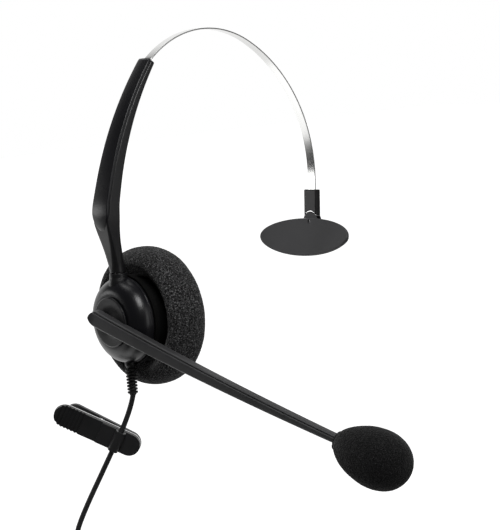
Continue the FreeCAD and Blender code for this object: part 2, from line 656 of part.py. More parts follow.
def make_sleeve(end):
    depth, width, plane = "sleeve_depth", "sleeve_width", end.x
    body = block("sleeve_block", (depth, width, "sleeve_top - sleeve_foot"),
                 at(f"{plane} - sleeve_depth / 2", "-sleeve_width / 2", "sleeve_foot"))
    slot = block("sleeve_slot", ("band_thick + 0.04", "band_width + 0.04", 40),
                 at(f"{plane} - band_thick / 2 - 0.02", "-band_width / 2 - 0.02", 20))
    arch = cylinder("sleeve_arch_disc", "sleeve_arch", 8, at(plane - 4, 0, "rivet_height"),
                    Vector(1, 0, 0))
    doc.recompute()
    rounded = doc.addObject("Part::Fillet", "sleeve_rounded")
    rounded.Base = body
    rounded.Edges = [(number, 0.5, 0.5) for number, edge in enumerate(body.Shape.Edges, start=1)
                     if edge.BoundBox.ZLength > 5 or edge.CenterOfMass.z > value("sleeve_top - 0.1")]
    piece(tuck_in(cut("band_sleeve", rounded, [slot, arch]), end), "band_sleeve")
    lip = cut("liner_arch", cylinder("liner_outer", "sleeve_arch - 0.01", "sleeve_depth - 0.5",
                                     at(f"{plane} - sleeve_depth / 2 + 0.25", 0, "rivet_height"),
                                     Vector(1, 0, 0)),
              [cylinder("liner_inner", "sleeve_arch - liner_thick", 8, at(plane - 4, 0, "rivet_height"),
                        Vector(1, 0, 0))])
    reach = block("liner_reach", (8, "sleeve_width - 0.4", 10),
                  at(plane - 4, "-sleeve_width / 2 + 0.2", "sleeve_foot + 0.1"))
    slot_again = block("liner_slot", ("band_thick + 0.04", "band_width + 0.04", 40),
                       at(f"{plane} - band_thick / 2 - 0.02", "-band_width / 2 - 0.02", 20))
    liner = cut("sleeve_liner", common("liner_part", lip, reach), [slot_again])
    piece(tuck_in(liner, end), "sleeve_liner")


def pad_shell(name, near, far, long_half, short_half, plane):
    """Oval slice of a hollow cylinder: the pad's curve, from one depth behind its face to another."""
    tilt = math.radians(value("pad_tilt"))
    normal = Vector(-math.cos(tilt), 0, math.sin(tilt))
    down = Vector(-math.sin(tilt), 0, -math.cos(tilt))
    centre = at(f"{plane} - pad_offset", 0, "pad_height")
    oval = Part.Ellipse(centre + normal * 20 + Vector(0, long_half, 0), centre + normal * 20
                        + down * short_half, centre + normal * 20)
    prism = Part.Face(Part.Wire([oval.toShape()])).extrude(normal * -40)
    axis = centre + normal * value("pad_curve") - down * 30
    outer = Part.makeCylinder(value("pad_curve") + far, 60, axis, down)
    inner = Part.makeCylinder(value("pad_curve") + near, 60, axis, down)
    return prism.common(outer.cut(inner))


def make_pad(end):
    skin, plate, plane = value("pad_skin"), value("pad_plate"), end.x
    long_half, short_half = value("pad_long"), value("pad_short")
    face = pad_shell("pad_face", 0, skin, long_half, short_half, plane)
    rims = [edge for edge in face.Edges if edge.Length > value("pad_long")]
    window = Part.makeCylinder(value("rivet_window"), 10, at(plane - 5, 0, "rivet_height"), Vector(1, 0, 0))
    fork = Part.makeCylinder(value("fork_radius"), value("sleeve_depth"),
                             at(f"{plane} - sleeve_depth / 2", 0, "rivet_height"), Vector(1, 0, 0))
    over = Part.makeBox(value("tine_thick"), 20, 20, at(f"{plane} - sleeve_depth / 2", -10, "tine_foot"))
    shown = face.makeFillet(0.5, rims).fuse(fork.common(over)).cut(window)
    piece(tuck_in(shaped("pad_face", shown), end), "pad_face")
    back = pad_shell("pad_back", skin + 0.02, skin + plate, long_half - 1.5, short_half - 1.5, plane)
    drop = value("rivet_height") - value("pad_height")
    stem = Part.makeBox(value("sleeve_depth"), value("fork_radius * 2"), drop,
                        at(f"{plane} - sleeve_depth / 2", "-fork_radius", "pad_height"))
    rib_start = at(f"{plane} - pad_offset", "-fork_radius", "pad_height - 2.5")
    rib = Part.makeBox(value("pad_offset + sleeve_depth / 2"), value("fork_radius * 2"), 4.5, rib_start)
    behind = pad_shell("pad_front", -30, skin + 0.02, long_half + 9, short_half + 9, plane)
    neck = fork.fuse(stem).fuse(rib).cut(behind)
    slot = Part.makeBox(value("fork_slot"), 20, 20, at(f"{plane} - fork_slot / 2", -10, "band_end - 0.9"))
    bore = Part.makeCylinder(value("rivet_radius"), 10, at(plane - 5, 0, "rivet_height"), Vector(1, 0, 0))
    held = back.fuse(neck).cut(slot).cut(bore).removeSplitter()
    piece(tuck_in(shaped("pad_neck", held), end), "pad_neck")
    pin = Part.makeCylinder(value("rivet_radius - 0.04"), value("sleeve_depth + 0.3"),
                            at(f"{plane} - sleeve_depth / 2 - 0.15", 0, "rivet_height"), Vector(1, 0, 0))
    piece(tuck_in(shaped("pad_rivet", pin), end), "pad_rivet")


# ---------------------------------------------------------------- cord

CORD_ROUTE = [(-22.8, 0.0, -32.5), (-23.4, 0.7, -38.5), (-26.0, 3.6, -45.0), (-32.0, 14.6, -66.0),
              (-37.2, 21.6, -81.0), (-41.4, 25.2, -92.5), (-42.6, 26.0, -104.4)]
TAIL_ROUTE = [(-40.3, 26.0, -121.6), (-40.1, 25.6, -127.2), (-39.3, 24.6, -132.6)]
COIL_CENTRE = Vector(-38.0, 42.45, -113.0)


def tube(points, radius):
    """Round tube of straight runs joined by arcs tangent to them."""
    corners = [Vector(*point) for point in points]
    edges, start, radii = [], corners[0], []
    for before, corner, after in zip(corners, corners[1:], corners[2:]):
        back, ahead = (before - corner), (after - corner)
        reach = 0.45 * min(back.Length, ahead.Length)
        half_turn = (math.pi - back.getAngle(ahead)) / 2
        radii.append(round(reach / math.tan(half_turn), 1))
        back.normalize()
        ahead.normalize()
        first, last = corner + back * reach, corner + ahead * reach
        inwards = (back + ahead).normalize()
        bend = reach / math.tan(half_turn)
        middle = corner + inwards * (bend / math.cos(half_turn) - bend)
        edges.append(Part.LineSegment(start, first).toShape())
        edges.append(Part.Arc(first, middle, last).toShape())
        start = last
    edges.append(Part.LineSegment(start, corners[-1]).toShape())
    path = Part.Wire(edges)
    way = corners[1] - corners[0]
    ring = Part.Wire([Part.Circle(corners[0], way, radius).toShape()])
    solid = path.makePipeShell([ring], True, False)
    share = solid.Volume / (math.pi * radius ** 2 * path.Length)
    print(f"tube {path.Length:.1f} mm long, radii {radii}, volume share {share:.4f}")
    return solid, path.Length


def make_cord():
    radius = value("cord_radius")
    cord, first = tube(CORD_ROUTE, radius)
    piece(shaped("cord", cord), "cord")
    tail, last = tube(TAIL_ROUTE, radius)
    piece(shaped("cord_tail", tail), "cord_tail")
    print(f"cord left for the coil {value('cord_length') - first - last:.0f} mm")
    start = COIL_CENTRE - Vector(value("coil_thick") / 2, 0, 0)
    outer = cylinder("coil_disc", "coil_outer", "coil_thick", start, Vector(1, 0, 0))
    inner = cylinder("coil_hole", "coil_inner", "coil_thick + 2", start - Vector(1, 0, 0),
                     Vector(1, 0, 0))
    piece(cut("cord_coil", outer, [inner]), "cord_coil")
    make_tie()


def make_tie():
    """Flat tie round the winding at its top."""
    gap = value("tie_thick")
    tall = value("coil_outer - coil_inner")
    width = value("tie_width")
    middle = COIL_CENTRE + at(0, 0, "(coil_outer + coil_inner) / 2")
    thick = value("coil_thick")
    outer = Part.makeBox(thick + 2 * gap, width, tall + 2 * gap + 0.6,
                         middle - Vector(thick / 2 + gap, width / 2, tall / 2 + gap + 0.5))
    inner = Part.makeBox(thick + 0.02, width + 2, tall + 0.6,
                         middle - Vector(thick / 2 + 0.01, width / 2 + 1, tall / 2 + 0.5))
    piece(shaped("coil_tie", outer.cut(inner)), "coil_tie")


def make_relief():
    """Ribbed strain relief, gripped on the seam of the capsule."""
    base = at("-relief_depth", 0, "-relief_top")
    down = Rotation(Vector(0, 1, 0), 90)
    long = "relief_bottom - relief_top"
    outline = [(0, "cord_radius"), (0, "relief_neck"), ("dome_radius - relief_top + 1.8", "relief_neck")]
    ribs = int(value("relief_ribs"))
    for number in range(ribs):
        start = f"dome_radius - relief_top + 3 + {number} * ({long} - 6.4) / relief_ribs"
        outline += [(start, "relief_root"), (f"{start} + 0.2", "relief_rib"),
                    (f"{start} + 0.85", "relief_rib"), (f"{start} + 1.05", "relief_root")]
    outline += [(long, "relief_root - 0.15"), (long, "cord_radius")]
    relief = place(revolved("strain_relief", outline), base, down)
    piece(relief, "strain_relief")


def plug_piece(name, outline):
    """Turned piece of the plug; distances run down from the end of the cord."""
    return place(revolved(name, outline), Vector(*TAIL_ROUTE[-1]), Rotation(Vector(0, 1, 0), 90))


def make_plug():
    body, boot = "plug_length", "boot_length"
    nose = f"{boot} + {body}"
    piece(plug_piece("plug_boot", [
        (0, 0), (0, "boot_radius"), (boot, "plug_radius - 0.6"), (boot, 0)]), "plug_boot")
    piece(plug_piece("plug_grip", [
        (boot, 0), (boot, "plug_radius - 0.4"), (f"{boot} + 1", "plug_radius"),
        (f"{nose} - 1", "plug_radius"), (nose, "plug_radius - 0.6"), (nose, 0)]), "plug_grip")
    outline = [(nose, 0), (nose, "contact_radius")]
    rings = []
    for number in range(3):
        start = f"{nose} + ring_first + {number} * ring_pitch"
        outline += [(start, "contact_radius"), (start, "contact_neck"),
                    (f"{start} + ring_thick", "contact_neck"), (f"{start} + ring_thick", "contact_radius")]
        rings.append(plug_piece(f"plug_ring_{number}", [
            (start, "contact_neck"), (start, "contact_radius"),
            (f"{start} + ring_thick", "contact_radius"), (f"{start} + ring_thick", "contact_neck")]))
    tip = f"{nose} + contact_length"
    outline += [(tip, "contact_radius"), (f"{tip} + 0.5", "contact_neck"),
                (f"{tip} + 1.2", "contact_radius - 0.15"), (f"{tip} + contact_tip", 0.5),
                (f"{tip} + contact_tip", 0)]
    piece(plug_piece("plug_contact", outline), "plug_contact")
    piece(group("plug_insulators", rings), "plug_insulators")


# ---------------------------------------------------------------- clothing clip

CLIP_TUNNEL = Vector(-28.1, 7.45, -52.35)     # middle of the cord's tunnel, on the straight run


def clip_frame():
    """Own X runs from the grip to the mouth, own Y against the cord, own Z out of the front jaw."""
    cord = (Vector(*CORD_ROUTE[2]) - Vector(*CORD_ROUTE[3])).normalize()
    front = Vector(-math.sin(math.radians(40)), -math.cos(math.radians(40)), 0)
    along = cord.cross(front).normalize()
    outward = along.cross(cord).normalize()
    turn = Rotation(along, cord, outward, "YXZ")
    axis = at("tunnel_at", "clip_width / 2", "jaw_front + jaw_thick + holder_rise + 0.35")
    return Placement(CLIP_TUNNEL, turn).multiply(Placement(axis * -1, Rotation()))


def on_clip(thing, base=Vector(), rotation=Rotation()):
    thing.Placement = clip_frame().multiply(Placement(base, rotation))
    return thing


def stadium(name, thickness, inset=0.0, start=0.0):
    """Plate with round ends from a start to the clip's end, as wide as it less an inset all round."""
    half = f"(clip_width / 2 - {inset})"
    return padded(name, "XY_Plane", [
        (f"{start} + clip_width / 2", inset),
        ("clip_length - clip_width / 2", inset, f"{half} + 0.001"),
        ("clip_length - clip_width / 2", f"clip_width - {inset}"),
        (f"{start} + clip_width / 2", f"clip_width - {inset}", f"{half} + 0.001")], thickness)


def clip_bar(name, radius, length, x, y, z, direction):
    bar = doc.addObject("Part::Cylinder", name)
    bar.setExpression("Radius", bound(radius))
    bar.setExpression("Height", bound(length))
    return on_clip(bar, at(x, y, z), Rotation(Vector(0, 0, 1), direction))


def clip_block(name, sizes, corner):
    thing = block(name, sizes, Vector())
    return on_clip(thing, corner)


def make_front_jaw():
    top = "jaw_front + jaw_thick"
    plate = on_clip(stadium("front_plate", "jaw_thick"), at(0, 0, "jaw_front"))
    grooves = []
    for number in range(int(value("ridge_count"))):
        grooves.append(clip_block(f"ridge_{number}", ("ridge_pitch * 0.45", 20, 2),
                                  at(f"ridge_start + {number} * ridge_pitch", -5,
                                     f"{top} - ridge_depth")))
    piece(cut("clip_front_jaw", plate, grooves), "clip_front_jaw")
    piece(on_clip(stadium("clip_liner", "liner", "-0.12"), at(0, 0, "jaw_front - liner - 0.01")),
          "clip_liner")
    floor = f"{top} + 0.01"
    slab = clip_block("holder_slab", ("holder_end - holder_start - 2", "clip_width - 0.3", "holder_rise"),
                      at("holder_start", 0.15, floor))
    hump = clip_bar("holder_hump", "tunnel_radius + tunnel_wall", "clip_width - 0.3", "tunnel_at", 0.15,
                    f"{top} + holder_rise + 0.35", Vector(0, 1, 0))
    below = clip_block("holder_below", (30, 20, 10), at("holder_start - 5", -5, f"{floor} - 10"))
    bore = clip_bar("holder_bore", "tunnel_radius", 20, "tunnel_at", -5,
                    f"{top} + holder_rise + 0.35", Vector(0, 1, 0))
    piece(cut("cord_holder", fused("holder_solid", [slab, hump]), [below, bore]), "cord_holder")


def make_back_jaw():
    lean = value("back_lean")
    mouth = at("clip_length", 0, "jaw_front - liner - 0.12")
    turn = Rotation(Vector(0, 1, 0), -lean)
    hang = Placement(mouth, turn).multiply(Placement(at("-clip_length", 0, "-jaw_thick"), Rotation()))
    plate = stadium("back_plate", "jaw_thick", start="back_start")
    plate.Placement = clip_frame().multiply(hang)
    lugs = []
    for number, side in enumerate(("0.3", "clip_width - 0.3 - lug_thick")):
        lug = clip_bar(f"lug_{number}", "lug_radius", "lug_thick", "clip_pivot", side,
                       "clip_axis", Vector(0, 1, 0))
        root = clip_block(f"lug_root_{number}", ("lug_radius * 2", "lug_thick", "lug_drop"),
                          at("clip_pivot - lug_radius", side, "clip_axis - lug_drop"))
        lugs += [lug, root]
    cover = clip_block("lug_limit", (10, 20, 10), at("clip_pivot - 5", -5, "clip_axis + 0.8"))
    hole = clip_bar("back_pin_hole", "clip_pin_radius + 0.05", 20, "clip_pivot", -5, "clip_axis",
                    Vector(0, 1, 0))
    pocket = clip_bar("back_pocket", "lug_radius", "clip_width - 2.4", "clip_pivot", 1.2, "clip_axis",
                      Vector(0, 1, 0))
    piece(cut("clip_back_jaw", fused("back_solid", [plate] + lugs), [cover, hole, pocket]),
          "clip_back_jaw")


def make_clip_hinge():
    pin = clip_bar("clip_pin", "clip_pin_radius", "clip_width - 0.4", "clip_pivot", 0.2, "clip_axis",
                   Vector(0, 1, 0))
    piece(pin, "clip_pin")
    ears = []
    for number, side in enumerate(("1.3", "clip_width - 1.3 - lug_thick")):
        ears.append(clip_bar(f"ear_{number}", "lug_radius - 0.3", "lug_thick", "clip_pivot", side,
                             "clip_axis", Vector(0, 1, 0)))
        ears.append(clip_block(f"ear_root_{number}", ("lug_radius * 1.6", "lug_thick", 2),
                               at("clip_pivot - lug_radius * 0.8", side, "clip_axis")))
    ears.append(clip_block("ear_base", ("lug_radius * 1.6", "clip_width - 2.6", 2),
                           at("clip_pivot - lug_radius * 0.8", 1.3, "jaw_front - liner - 0.25")))
    limit = clip_block("ear_limit", (20, 20, 10), at("clip_pivot - 10", -5, "jaw_front - liner - 0.01"))
    hole = clip_bar("ear_hole", "clip_pin_radius", 20, "clip_pivot", -5, "clip_axis", Vector(0, 1, 0))
    piece(cut("clip_bracket", fused("ear_solid", ears), [limit, hole]), "clip_bracket")
    coil = clip_bar("spring_coil", "clip_pin_radius + 0.25", "clip_width - 5.2", "clip_pivot", 2.6,
                    "clip_axis", Vector(0, 1, 0))
    inner = clip_bar("spring_bore", "clip_pin_radius + 0.05", 20, "clip_pivot", -5, "clip_axis",
                     Vector(0, 1, 0))
    piece(cut("clip_spring", coil, [inner]), "clip_spring")


# ---------------------------------------------------------------- build and write

def check_and_write():
    doc.recompute()
    failed = [item.Name for item in doc.Objects if "Invalid" in item.State or "Error" in item.State]
    if failed:
        raise RuntimeError("failed objects: " + ", ".join(failed))
    for item in pieces:
        if item.Shape.isNull() or not item.Shape.isValid():
            raise RuntimeError("bad shape: " + item.Label)
    os.makedirs("parts", exist_ok=True)
    for item in pieces:
        item.Shape.exportStep(f"parts/{item.Label}.step")
        box = item.Shape.BoundBox
        print(f"{item.Label:18s} solids {len(item.Shape.Solids)} volume {item.Shape.Volume:9.1f}"
              f"  X {box.XMin:7.1f} {box.XMax:7.1f}  Y {box.YMin:7.1f} {box.YMax:7.1f}"
              f"  Z {box.ZMin:7.1f} {box.ZMax:7.1f}")


make_cushion()
make_speaker_plate()
make_dome()
make_capsule_screws()
make_speaker()
make_collar_pin()
make_boom()
make_hub()
make_microphone()
make_arm()
BAND_END = make_band()
make_sleeve(BAND_END)
make_pad(BAND_END)
make_relief()
make_cord()
make_plug()
make_front_jaw()
make_back_jaw()
make_clip_hinge()
check_and_write()
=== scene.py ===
"""Looks of a single-ear office headset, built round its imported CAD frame.

Lengths are in millimetres in the part's frame unless they say otherwise, and become metres in `solid`,
`make_cord` and `foam`. The camera, the lights and the floor are in metres.
"""

import json
import math
import random

import bmesh
import bpy
from mathutils import Matrix, Vector, noise


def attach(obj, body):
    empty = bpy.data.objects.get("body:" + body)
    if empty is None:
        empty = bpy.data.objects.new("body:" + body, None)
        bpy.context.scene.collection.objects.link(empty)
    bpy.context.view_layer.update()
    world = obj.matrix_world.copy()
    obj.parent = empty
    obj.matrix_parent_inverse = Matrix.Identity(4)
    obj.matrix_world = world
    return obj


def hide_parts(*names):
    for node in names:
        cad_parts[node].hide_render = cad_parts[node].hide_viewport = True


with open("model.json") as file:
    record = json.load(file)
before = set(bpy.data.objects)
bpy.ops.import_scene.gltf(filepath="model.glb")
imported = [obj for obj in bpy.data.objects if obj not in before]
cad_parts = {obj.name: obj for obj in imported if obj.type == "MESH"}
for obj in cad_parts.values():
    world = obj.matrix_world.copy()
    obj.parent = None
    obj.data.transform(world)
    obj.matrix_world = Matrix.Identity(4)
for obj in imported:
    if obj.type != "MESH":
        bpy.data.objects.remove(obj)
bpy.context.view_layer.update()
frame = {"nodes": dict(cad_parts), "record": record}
MM = 0.001
NODES = frame["nodes"]
SLOT_OF = {part["node"]: part["material_slot"] for part in frame["record"]["subparts"]}
BODY_OF = {node: body for body, nodes in frame["record"]["behaviour"]["bodies"].items() for node in nodes}


# ------------------------------------------------------------------ camera, floor and light

def make_camera():
    data = bpy.data.cameras.new("camera")
    data.sensor_fit, data.sensor_width, data.lens = "HORIZONTAL", 36.0, 180.0
    data.clip_end = 50.0
    camera = bpy.data.objects.new("camera", data)
    azimuth, elevation, roll = (math.radians(angle) for angle in (-39.95, 6.0, -4.7))
    forward = Vector((-math.sin(azimuth) * math.cos(elevation), math.cos(azimuth) * math.cos(elevation),
                      -math.sin(elevation)))
    aim = forward.to_track_quat("-Z", "Y").to_matrix().to_4x4()
    camera.matrix_world = (Matrix.Translation(Vector((-660.84, -846.46, 130.24)) * MM) @ aim
                           @ Matrix.Rotation(roll, 4, "Z"))
    bpy.context.collection.objects.link(camera)
    bpy.context.scene.camera = camera


def area_light(name, where, target, size, power):
    data = bpy.data.lights.new(name, "AREA")
    data.shape, data.size, data.size_y = "RECTANGLE", size[0], size[1]
    data.energy = power
    light = bpy.data.objects.new(name, data)
    where, target = Vector(where), Vector(target)
    aim = (target - where).to_track_quat("-Z", "Y").to_matrix().to_4x4()
    light.matrix_world = Matrix.Translation(where) @ aim
    light.visible_camera = False
    bpy.context.collection.objects.link(light)


# directions that shine on the object, and where along the dot product with each the light comes up
BRIGHT_SIDES = [((0.62, 0.78, 0.0), 0.5, 0.85), ((0.35, 0.78, -0.52), 0.45, 0.57)]
DIM, BRIGHT = 0.04, 1.0
# name, place, target, width and height, power
LIGHTS = [("key", (-0.26, -0.50, 0.58), (0, 0, 0), (0.34, 0.34), 3.0),
          ("top", (-0.1, 0.25, 0.85), (0, 0, 0), (0.6, 0.4), 1.6),
          ("front", (0.55, -0.9, 0.15), (0, 0, 0), (0.3, 0.8), 0.6),
          ("low", (-0.45, 0.1, -0.6), (0, 0, 0), (0.5, 0.35), 0.5),
          ("back", (-0.20, 0.50, -0.36), (0, 0, 0.05), (0.55, 0.5), 0.3),
          ("band_end", (-0.43, 0.61, 0.11), (0.088, 0, 0.047), (0.2, 0.15), 0.3),
          ("rim", (0.05, -0.88, 0.09), (0, 0, 0), (0.2, 0.7), 0.7)]
FLOOR_HALF, FLOOR_LEVEL = 6.0, -0.32


def make_world():
    """White behind the object, and dark round it apart from two soft bright sides."""
    world = bpy.data.worlds.new("studio")
    bpy.context.scene.world = world
    world.use_nodes = True
    nodes, links = world.node_tree.nodes, world.node_tree.links
    nodes.clear()
    out = nodes.new("ShaderNodeOutputWorld")
    mix = nodes.new("ShaderNodeMixShader")
    seen = nodes.new("ShaderNodeBackground")
    lit = nodes.new("ShaderNodeBackground")
    ray = nodes.new("ShaderNodeLightPath")
    seen.inputs["Color"].default_value = (1, 1, 1, 1)
    lit.inputs["Color"].default_value = (1, 1, 1, 1)
    where = nodes.new("ShaderNodeTexCoord")
    brighter = nodes.new("ShaderNodeMath")
    brighter.operation = "MAXIMUM"
    for number, (way, low, high) in enumerate(BRIGHT_SIDES):
        facing = nodes.new("ShaderNodeVectorMath")
        facing.operation = "DOT_PRODUCT"
        facing.inputs[1].default_value = Vector(way).normalized()
        fall = nodes.new("ShaderNodeMapRange")
        fall.interpolation_type = "SMOOTHSTEP"
        fall.inputs["From Min"].default_value, fall.inputs["From Max"].default_value = low, high
        fall.inputs["To Min"].default_value, fall.inputs["To Max"].default_value = DIM, BRIGHT
        links.new(where.outputs["Generated"], facing.inputs[0])
        links.new(facing.outputs["Value"], fall.inputs["Value"])
        links.new(fall.outputs[0], brighter.inputs[number])
    links.new(brighter.outputs[0], lit.inputs["Strength"])
    links.new(ray.outputs["Is Camera Ray"], mix.inputs["Fac"])
    links.new(lit.outputs[0], mix.inputs[1])
    links.new(seen.outputs[0], mix.inputs[2])
    links.new(mix.outputs[0], out.inputs["Surface"])


def make_floor():
    mesh = bpy.data.meshes.new("floor")
    half, level = FLOOR_HALF, FLOOR_LEVEL
    mesh.from_pydata([(-half, -half, level), (half, -half, level), (half, half, level), (-half, half, level)],
                     [], [(0, 1, 2, 3)])
    floor = bpy.data.objects.new("floor", mesh)
    bpy.context.collection.objects.link(floor)
    paint = bpy.data.materials.new("floor_white")
    paint.use_nodes = True
    shader = paint.node_tree.nodes["Principled BSDF"]
    shader.inputs["Base Color"].default_value = (0.9, 0.9, 0.9, 1)
    shader.inputs["Roughness"].default_value = 0.9
    shader.inputs["Emission Color"].default_value = (1, 1, 1, 1)
    shader.inputs["Emission Strength"].default_value = 1.0
    mesh.materials.append(paint)
    floor.visible_glossy = floor.visible_diffuse = False


def make_studio():
    bpy.context.scene.view_settings.view_transform = "Standard"
    make_world()
    for light in LIGHTS:
        area_light(*light)
    make_floor()


# ------------------------------------------------------------------ materials

def material(name, colour, roughness, metallic=0.0, grain=(2500.0, 0.1), vary=(60.0, 0.25), rough_vary=0.08,
             specular=0.5, stretch=(1, 1, 1)):
    """Moulded, rolled or turned surface: fine grain as bump, slow drifts of colour and of gloss."""
    made = bpy.data.materials.new(name)
    made.use_nodes = True
    nodes, links = made.node_tree.nodes, made.node_tree.links
    shader = nodes["Principled BSDF"]
    shader.inputs["Metallic"].default_value = metallic
    shader.inputs["Specular IOR Level"].default_value = specular
    where = nodes.new("ShaderNodeTexCoord")
    mapping = nodes.new("ShaderNodeMapping")
    mapping.inputs["Scale"].default_value = stretch
    links.new(where.outputs["Object"], mapping.inputs["Vector"])
    fine, slow = nodes.new("ShaderNodeTexNoise"), nodes.new("ShaderNodeTexNoise")
    for texture, scale, detail in ((fine, grain[0], 3.0), (slow, vary[0], 4.0)):
        links.new(mapping.outputs[0], texture.inputs["Vector"])
        texture.inputs["Scale"].default_value = scale
        texture.inputs["Detail"].default_value = detail
    ramp = nodes.new("ShaderNodeValToRGB")
    low, high = 1 - vary[1], 1 + vary[1]
    ramp.color_ramp.elements[0].position, ramp.color_ramp.elements[1].position = 0.3, 0.72
    ramp.color_ramp.elements[0].color = [c * low for c in colour] + [1]
    ramp.color_ramp.elements[1].color = [min(1, c * high) for c in colour] + [1]
    links.new(slow.outputs["Fac"], ramp.inputs["Fac"])
    links.new(ramp.outputs["Color"], shader.inputs["Base Color"])
    gloss = nodes.new("ShaderNodeMapRange")
    gloss.inputs["To Min"].default_value = max(0.03, roughness - rough_vary)
    gloss.inputs["To Max"].default_value = min(1, roughness + rough_vary)
    links.new(fine.outputs["Fac"], gloss.inputs["Value"])
    links.new(gloss.outputs[0], shader.inputs["Roughness"])
    bump = nodes.new("ShaderNodeBump")
    bump.inputs["Strength"].default_value = grain[1]
    bump.inputs["Distance"].default_value = 0.0001
    links.new(fine.outputs["Fac"], bump.inputs["Height"])
    links.new(bump.outputs[0], shader.inputs["Normal"])
    return made


def foam_material(name, dark, light, cell, stray_gain):
    """Open-cell foam: pores painted darker than the lighter walls as painted shade in the holes, with stray
    bright flecks.
    """
    made = bpy.data.materials.new(name)
    made.use_nodes = True
    nodes, links = made.node_tree.nodes, made.node_tree.links
    shader = nodes["Principled BSDF"]
    shader.inputs["Roughness"].default_value = 0.95
    shader.inputs["Specular IOR Level"].default_value = 0.15
    shader.inputs["Sheen Weight"].default_value = 0.12
    shader.inputs["Sheen Roughness"].default_value = 0.5
    where = nodes.new("ShaderNodeTexCoord")
    cells, flecks = nodes.new("ShaderNodeTexVoronoi"), nodes.new("ShaderNodeTexNoise")
    for texture, scale in ((cells, cell), (flecks, cell * 1.5)):
        texture.inputs["Scale"].default_value = scale
        links.new(where.outputs["Object"], texture.inputs["Vector"])
    # painted shade: the colour darkens towards each cell's middle, where the bump sinks the pore
    walls = nodes.new("ShaderNodeValToRGB")
    walls.color_ramp.elements[0].position, walls.color_ramp.elements[1].position = 0.35, 0.8
    walls.color_ramp.elements[0].color = (dark, dark, dark * 1.03, 1)
    walls.color_ramp.elements[1].color = (light, light, light * 1.03, 1)
    links.new(cells.outputs["Distance"], walls.inputs["Fac"])
    stray = nodes.new("ShaderNodeValToRGB")
    stray.color_ramp.elements[0].position, stray.color_ramp.elements[1].position = 0.55, 0.68
    stray.color_ramp.elements[0].color = (0, 0, 0, 1)
    stray.color_ramp.elements[1].color = [light * stray_gain] * 3 + [1]
    links.new(flecks.outputs["Fac"], stray.inputs["Fac"])
    add = nodes.new("ShaderNodeMix")
    add.data_type, add.blend_type = "RGBA", "ADD"
    add.inputs["Factor"].default_value = 1.0
    links.new(walls.outputs["Color"], add.inputs["A"])
    links.new(stray.outputs["Color"], add.inputs["B"])
    links.new(add.outputs["Result"], shader.inputs["Base Color"])
    bump = nodes.new("ShaderNodeBump")
    bump.inputs["Strength"].default_value = 0.8
    bump.inputs["Distance"].default_value = 0.0003
    links.new(cells.outputs["Distance"], bump.inputs["Height"])
    links.new(bump.outputs[0], shader.inputs["Normal"])
    return made


MATERIALS = {
    "foam": foam_material("foam", 0.003, 0.055, 1350.0, 3.5),
    "fine_foam": foam_material("fine_foam", 0.003, 0.014, 1700.0, 2.5),
    "felt": material("felt", (0.03, 0.03, 0.03), 0.95, grain=(3500, 0.5), specular=0.1),
    "gloss_black": material("gloss_black", (0.008, 0.008, 0.010), 0.29, grain=(1800, 0.03), rough_vary=0.04),
    "satin_black": material("satin_black", (0.011, 0.011, 0.012), 0.36, grain=(2600, 0.06)),
    "clip_black": material("clip_black", (0.03, 0.03, 0.031), 0.34, grain=(2600, 0.06)),
    "matte_black": material("matte_black", (0.048, 0.048, 0.05), 0.46, grain=(3000, 0.12)),
    "pad_grey": material("pad_grey", (0.075, 0.075, 0.078), 0.62, grain=(2200, 0.2), vary=(45, 0.12)),
    "steel": material("steel", (0.75, 0.75, 0.74), 0.16, 1.0, grain=(900, 0.04), vary=(30, 0.05),
                      rough_vary=0.05, stretch=(1, 8, 1)),
    "bright_steel": material("bright_steel", (0.86, 0.86, 0.86), 0.18, 1.0, grain=(1800, 0.04),
                             vary=(80, 0.04)),
    "dark_steel": material("dark_steel", (0.33, 0.33, 0.33), 0.35, 1.0, grain=(2200, 0.08), vary=(120, 0.1)),
    # painted shade: near-black for parts that sit in shade, the speaker plate in the cushion's mouth and the
    # core in the boom's seam
    "painted_shade_black": material("painted_shade_black", (0.004, 0.004, 0.004), 0.6, specular=0.15),
    "rubber": material("rubber", (0.018, 0.018, 0.018), 0.5, grain=(2600, 0.12)),
    "cord_jacket": material("cord_jacket", (0.035, 0.035, 0.036), 0.42, grain=(1500, 0.08)),
    "cone_paper": material("cone_paper", (0.12, 0.12, 0.12), 0.8, grain=(3000, 0.3)),
    "board": material("board", (0.03, 0.13, 0.06), 0.4, grain=(2500, 0.1)),
    "copper": material("copper", (0.7, 0.4, 0.24), 0.3, 1.0, grain=(3000, 0.1), vary=(200, 0.1)),
    "gold": material("gold", (0.86, 0.68, 0.36), 0.2, 1.0, grain=(2000, 0.03), vary=(90, 0.06)),
}


# ------------------------------------------------------------------ mesh helpers

def dress(obj, slot, nodes):
    """Material, slot and body of a piece that stands for the CAD nodes named."""
    obj.data.materials.clear()
    obj.data.materials.append(MATERIALS[slot])
    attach(obj, BODY_OF[nodes[0]])
    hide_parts(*nodes)
    return obj


def solid(name, points, faces, slot, nodes):
    """Smooth-shaded closed mesh from points in millimetres, standing for the CAD nodes named."""
    mesh = bpy.data.meshes.new(name)
    mesh.from_pydata([Vector(point) * MM for point in points], [], faces)
    shape = bmesh.new()
    shape.from_mesh(mesh)
    bmesh.ops.remove_doubles(shape, verts=shape.verts, dist=1e-7)
    bmesh.ops.recalc_face_normals(shape, faces=shape.faces)
    shape.to_mesh(mesh)
    shape.free()
    mesh.shade_smooth()
    obj = bpy.data.objects.new(name, mesh)
    bpy.context.collection.objects.link(obj)
    weigh(obj)
    return dress(obj, slot, nodes)


SHARP = 32.0            # degrees between faces past which an edge stays sharp


def weigh(obj):
    normals = obj.modifiers.new("normals", "WEIGHTED_NORMAL")
    normals.weight, normals.keep_sharp = 80, True


